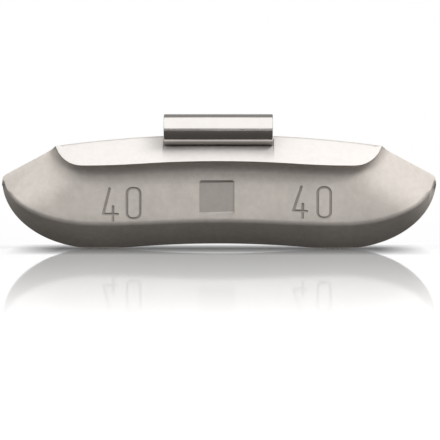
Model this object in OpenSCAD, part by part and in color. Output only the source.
// Knock-on balance weight for a steel car wheel, marked 40 (grams).
// A cast zinc body curved to the rim flange, with a spring-steel clip cast into it.
// X runs along the weight, -Y is the front with the marks, +Z points to the rim's lip.
// The origin is the centre of the clip's hook, where the edge of the rim flange sits.

/* [Body outline] */
// Length of the body from tip to tip
body_length = 78; // [66:0.5:100]
// Height of the body from its lowest points to the middle of its top edge
body_height = 20.5; // [18:0.1:24]
// Radius of the top edge about the wheel's axis
rim_radius = 214; // [180:1:260]
// How far the middle of the underside lies above its lowest points
belly_rise = 0.9; // [0.3:0.05:1.4]
// Distance of the lowest points from the middle
low_point = 22; // [18:0.5:25]
// Height of the pointed tips above the lowest points
tip_height = 12.3; // [10.5:0.1:13.5]
// Radius that rounds each tip
tip_round = 1.2; // [0.6:0.1:1.6]
// Angle of the straight slope from each tip up to the platform
end_slope = 28; // [24:0.5:32]

/* [Body thickness] */
// Depth of the front face from the back plane
face_depth = 5.05; // [4.6:0.05:5.5]
// Radius of the slight crown across the front face
face_crown = 120; // [60:1:200]
// Backward lean of the front face, in degrees
face_lean = 1.6; // [0:0.1:3]
// Height of the front face's lower edge at the middle
bevel_top = 5.1; // [4:0.1:6.5]
// Height of the front face's lower edge above the lowest points
bevel_top_low = 4.55; // [3.8:0.05:5]
// Thickness of the narrow land along the outline
edge_land = 0.5; // [0.3:0.05:0.8]
// Fall of the cheeks towards the tips, in degrees
cheek_fall = 30; // [24:0.5:33]
// Direction of that fall, in degrees outwards from upright
cheek_turn = 32; // [27:1:40]
// Depth of the cheeks at the tips
cheek_depth = 1.45; // [1.3:0.05:1.9]
// Softness of the line between face and cheek
cheek_blend = 1; // [0.4:0.1:1.6]

/* [Platform] */
// Depth of the platform's ridge from the back plane
ridge_depth = 7.4; // [6.8:0.1:8]
// Depth of the platform's top edge from the back plane
platform_top = 2.9; // [2.4:0.05:2.95]
// Height of the ridge at the middle
ridge_height = 15.85; // [15:0.05:16.6]
// Height of the ridge where its end corners begin
ridge_height_low = 15.05; // [14.4:0.05:15.4]
// Half the length of the ridge between its end corners
ridge_half = 24.2; // [20:0.1:25.5]
// Radius of the ridge's end corners
ridge_corner = 5.4; // [4.6:0.1:5.8]
// Width of the cove under the ridge
cove_width = 2; // [1.4:0.05:2.2]

/* [Back] */
// Height at which the flat back starts to curve under the rim's curl
nose_start = 12; // [10:0.5:15]
// Radius of that curve
nose_radius = 45; // [36:1:80]

/* [Clip] */
// Width of the spring-steel strip
clip_width = 19.4; // [12:0.2:26]
// Thickness of the strip
strip = 1; // [0.7:0.05:1.1]
// Radius inside the hook, for the edge of the rim flange
hook_radius = 1.77; // [1.5:0.01:2]
// Depth of the hook's centre in front of the back plane
hook_depth = 4.6; // [4.4:0.1:5.2]
// Height of the hook's centre above the body's top edge
hook_rise = 0.9; // [0.7:0.05:1.3]
// Length of the upper arm that grips behind the flange's edge
arm_length = 4.4; // [3:0.1:6]
// Downward lean of the upper arm
arm_lean = 5; // [0:0.5:8]
// Radius of the flared tip of the upper arm
flare_radius = 2; // [1.3:0.1:3]
// Angle through which the tip flares
flare_turn = 28; // [15:1:40]
// Straight run of the lower arm, from the hook back into the platform
root_run = 0.7; // [0.5:0.1:1]
// Radius inside the bend where the strip turns down into the body
root_bend = 0.5; // [0.4:0.05:0.7]
// Depth of the leg that is cast in, measured below the hook's centre
leg_drop = 14.5; // [11:0.5:15.5]
// Diameter of the locking hole in the leg, filled by the casting
lock_hole = 5; // [3:0.5:7]
// Drop of the locking hole's centre below the hook's centre
lock_drop = 10; // [8.5:0.1:10.8]

/* [Hidden] */
$fn = 96;

metal_zinc = [0.70, 0.68, 0.66];
metal_clip = [0.84, 0.84, 0.85];

half_length = body_length / 2;
axis_z = body_height - rim_radius;
platform_fall = (ridge_depth - platform_top) / (body_height - ridge_height);
corner_z = ridge_height_low + ridge_corner;
hook_z = body_height + hook_rise;
hook_outer = hook_radius + strip;

// Stock behind the back plane, trimmed off by the shape of the rim
back_stock = 1;
// Stretch of the rim that the weight lies on, in degrees about the wheel's axis
curl_turn = 60;
// Smallest step between two lines of the loft, where the platform has run out
line_gap = 0.06;
// Steps up the face and up the cove, in each section
face_lines = 6;
cove_lines = 6;
// Steps between sections: along the middle in millimetres, round the ends in degrees
mid_step = 2;
end_step = 2.5;
last_turn = 85;
end_reach = (half_length - low_point) / sin(last_turn);

// Height of an arc about the wheel's axis, where its middle is at height mid
function about_axis(a, mid) = axis_z + sqrt(pow(mid - axis_z, 2) - a * a);

// An arc about the wheel's axis that runs out level at height low, at distance reach
function levelled_arc(a, mid, low, reach) =
    let (r = mid - axis_z, turn = 2 * r * (mid - low) / reach)
    a < turn ? mid - a * a / (2 * r)
             : low + pow(reach - a, 2) * turn / (2 * r * (reach - turn));

// The rounded end of a line: a quarter ellipse from level at low_point to upright at the tip
function rounded_end(a, low, centre, reach) =
    let (u = min(1, (a - low_point) / reach))
    centre - (centre - low) * sqrt(1 - u * u);

function bottom_line(a) =
    a < low_point ? levelled_arc(a, belly_rise, 0, low_point)
                  : rounded_end(a, 0, tip_height, end_reach);

// The end slope, tangent to the rounding of the tip
function slope_line(a) =
    let (x0 = half_length - tip_round)
    a > x0 + tip_round * sin(end_slope)
        ? tip_height + sqrt(max(0, pow(tip_round, 2) - pow(a - x0, 2)))
        : tip_height + tip_round / cos(end_slope) + (x0 - a) * tan(end_slope);

// Where the ridge runs into the top edge
corner_reach = corner_z - about_axis(ridge_half + ridge_corner, body_height);
platform_end = ridge_half + sqrt(pow(ridge_corner, 2) - pow(corner_reach, 2));
step_down = about_axis(platform_end, body_height) - slope_line(platform_end);

function top_line(a) =
    a <= platform_end ? about_axis(a, body_height)
                      : slope_line(a) + step_down * pow(max(0, 1 - (a - platform_end) / cove_width), 2);

function ridge_curve(a) =
    a < ridge_half ? levelled_arc(a, ridge_height, ridge_height_low, ridge_half)
                   : corner_z - sqrt(max(0, pow(ridge_corner, 2) - pow(a - ridge_half, 2)));

function foot_curve(a) =
    a < ridge_half ? ridge_curve(a) - cove_width
                   : corner_z - sqrt(max(0, pow(ridge_corner + cove_width, 2) - pow(a - ridge_half, 2)));

function ridge_line(a) = min(a < platform_end ? ridge_curve(a) : body_height, top_line(a) - line_gap);
function foot_line(a) = min(a < platform_end + cove_width ? foot_curve(a) : body_height,
                            ridge_line(a) - cove_lines * line_gap);

// The front face ends above the bevel, which narrows to nothing at the tips
bevel_reach = end_reach - edge_land;
bevel_centre = tip_height + tip_round / 2;
function bevel_line(a) =
    min(a < low_point ? levelled_arc(a, bevel_top, bevel_top_low, low_point)
                      : rounded_end(a, bevel_top_low, bevel_centre, bevel_reach),
        foot_line(a) - face_lines * line_gap);

// Depths in front of the back plane
function back_depth(a, z) =
    let (h = max(0, norm([a, z - axis_z]) - (nose_start - axis_z)))
    nose_radius - sqrt(pow(nose_radius, 2) - h * h);

function soft_min(p, q, k) = min(p, q) - k * pow(max(0, k - abs(p - q)) / k, 2) / 4;

function base_depth(a, z) =
    let (face_mid = (bevel_top + ridge_height - cove_width) / 2,
         rise = z - face_mid,
         face = face_depth - rise * tan(face_lean) - pow(rise, 2) / (2 * face_crown),
         out = (half_length - a) * sin(cheek_turn) + (tip_height - z) * cos(cheek_turn),
         cheek = cheek_depth + out * tan(cheek_fall))
    max(soft_min(face, cheek, cheek_blend), back_depth(a, z) + edge_land);

function platform_depth(a, z) = platform_top + max(0, about_axis(a, body_height) - z) * platform_fall;

// Nearest point of the ridge to a point of the cove, and the distance from it
function ridge_point(a, z) =
    a <= ridge_half ? [a, ridge_curve(a)]
                    : let (v = [a - ridge_half, z - corner_z])
                      [ridge_half, corner_z] + v * ridge_corner / norm(v);
function ridge_distance(a, z) = norm([a, z] - ridge_point(a, z));

function cove_depth(a, z) =
    let (base = base_depth(a, z),
         p = ridge_point(a, z),
         climb = max(0, 1 - ridge_distance(a, z) / cove_width))
    base + (platform_depth(p[0], p[1]) - base) * (1 - sqrt(1 - climb * climb));

function between(p, q, t) = p + (q - p) * t;

// One cross-section at x, as points running up the front and down the stock behind
function section(x) =
    let (a = abs(x),
         bottom = bottom_line(a),
         bevel = bevel_line(a),
         foot = foot_line(a),
         ridge = ridge_line(a),
         top = top_line(a),
         face_z = [for (i = [0 : face_lines]) between(bevel, foot, i / face_lines)],
         cove_z = [for (i = [1 : cove_lines]) between(foot, ridge, sin(90 * i / cove_lines))],
         top_front = a <= platform_end ? platform_top : cove_depth(a, top))
    concat([[x, -edge_land, bottom]],
           [for (z = face_z) [x, -base_depth(a, z), z]],
           [for (z = cove_z) [x, -cove_depth(a, z), z]],
           [[x, -max(top_front, back_depth(a, top) + edge_land), top],
            [x, back_stock, top],
            [x, back_stock, bottom]]);

end_stations = [for (t = [0 : end_step : last_turn]) low_point + end_reach * sin(t)];
right_stations = concat([for (a = [mid_step : mid_step : low_point - mid_step / 2]) a], end_stations);
stations = concat([for (i = [len(right_stations) - 1 : -1 : 0]) -right_stations[i]], [0], right_stations);

// A closed skin over a row of sections with the same number of points
module loft(sections) {
    n = len(sections[0]);
    last = len(sections) - 1;
    walls = [
        for (i = [0 : last - 1], j = [0 : n - 1])
        let (k = (j + 1) % n, p = i * n, q = (i + 1) * n)
        each [[p + j, p + k, q + k], [p + j, q + k, q + j]]
    ];
    start_cap = [for (j = [n - 1 : -1 : 0]) j];
    end_cap = [for (j = [0 : n - 1]) last * n + j];
    points = [for (s = sections) each s];
    polyhedron(points, concat(walls, [start_cap, end_cap]), convexity = 6);
}

// What lies behind the weight on the wheel: the flange wall, and its curl over the top
module rim_space() {
    translate([-body_length, 0, -body_length])
        cube([2 * body_length, body_length, 2 * body_length]);
    translate([0, 0, axis_z])
        rotate([90, 0, 0])
            rotate([0, 0, 90 - curl_turn / 2])
                rotate_extrude(angle = curl_turn, $fn = 360)
                    curl_profile();
}

// The curl's profile, with its radius along X and its depth forwards along Y
module curl_profile() {
    start = nose_start - axis_z;
    rise = 1.5 * (body_height - nose_start);
    reach = nose_radius - sqrt(pow(nose_radius, 2) - rise * rise);
    difference() {
        translate([start, -back_stock])
            square([rise, back_stock + reach]);
        translate([start, nose_radius])
            circle(r = nose_radius);
    }
}

// Profile of the bent strip, with its depth in front of the back plane along X
module clip_profile() {
    root_x = hook_depth - root_run;
    root_z = hook_z - hook_outer - root_bend;
    leg_x = root_x - root_bend - strip;
    translate([hook_depth, hook_z]) {
        hook();
        upper_arm();
    }
    // Lower arm, running back into the platform
    translate([root_x, hook_z - hook_outer])
        square([root_run, strip]);
    // Bend down into the leg
    intersection() {
        translate([root_x, root_z])
            ring(root_bend, root_bend + strip);
        translate([leg_x, root_z])
            square(root_bend + strip);
    }
    // Leg
    translate([leg_x, hook_z - leg_drop])
        square([strip, root_z - hook_z + leg_drop]);
}

module ring(inner, outer) {
    difference() {
        circle(r = outer);
        circle(r = inner);
    }
}

// The hook, open to the back from the lower arm up to where the upper arm leaves it
module hook() {
    far = 2 * hook_outer;
    difference() {
        ring(hook_radius, hook_outer);
        polygon([
            [0, 0],
            [-far * tan(arm_lean), far],
            [-far, far],
            [-far, -far],
            [0, -far]
        ]);
    }
}

// The upper arm runs straight back, leaning down, and flares upwards at its tip
module upper_arm() {
    rotate(arm_lean) {
        translate([-arm_length, hook_radius])
            square([arm_length, strip]);
        translate([-arm_length, hook_outer + flare_radius])
            flare();
    }
}

module flare() {
    far = 2 * (flare_radius + strip);
    intersection() {
        ring(flare_radius, flare_radius + strip);
        polygon([
            [0, 0],
            [0, -far],
            [-far * tan(flare_turn), -far]
        ]);
    }
}

// The whole clip, with the locking hole in its leg
module clip_solid() {
    difference() {
        translate([clip_width / 2, 0, 0])
            rotate([90, 0, -90])
                linear_extrude(clip_width)
                    clip_profile();
        translate([0, 0, hook_z - lock_drop])
            rotate([90, 0, 0])
                cylinder(d = lock_hole, h = 2 * hook_depth);
    }
}

// Moves a piece from its drawing place to the origin in the hook
module in_frame() {
    translate([0, hook_depth, -hook_z])
        children();
}

module weight_body() {
    color(metal_zinc)
        in_frame()
            difference() {
                loft([for (x = stations) section(x)]);
                rim_space();
                clip_solid();
            }
}

module spring_clip() {
    color(metal_clip)
        in_frame()
            clip_solid();
}

weight_body();
spring_clip();
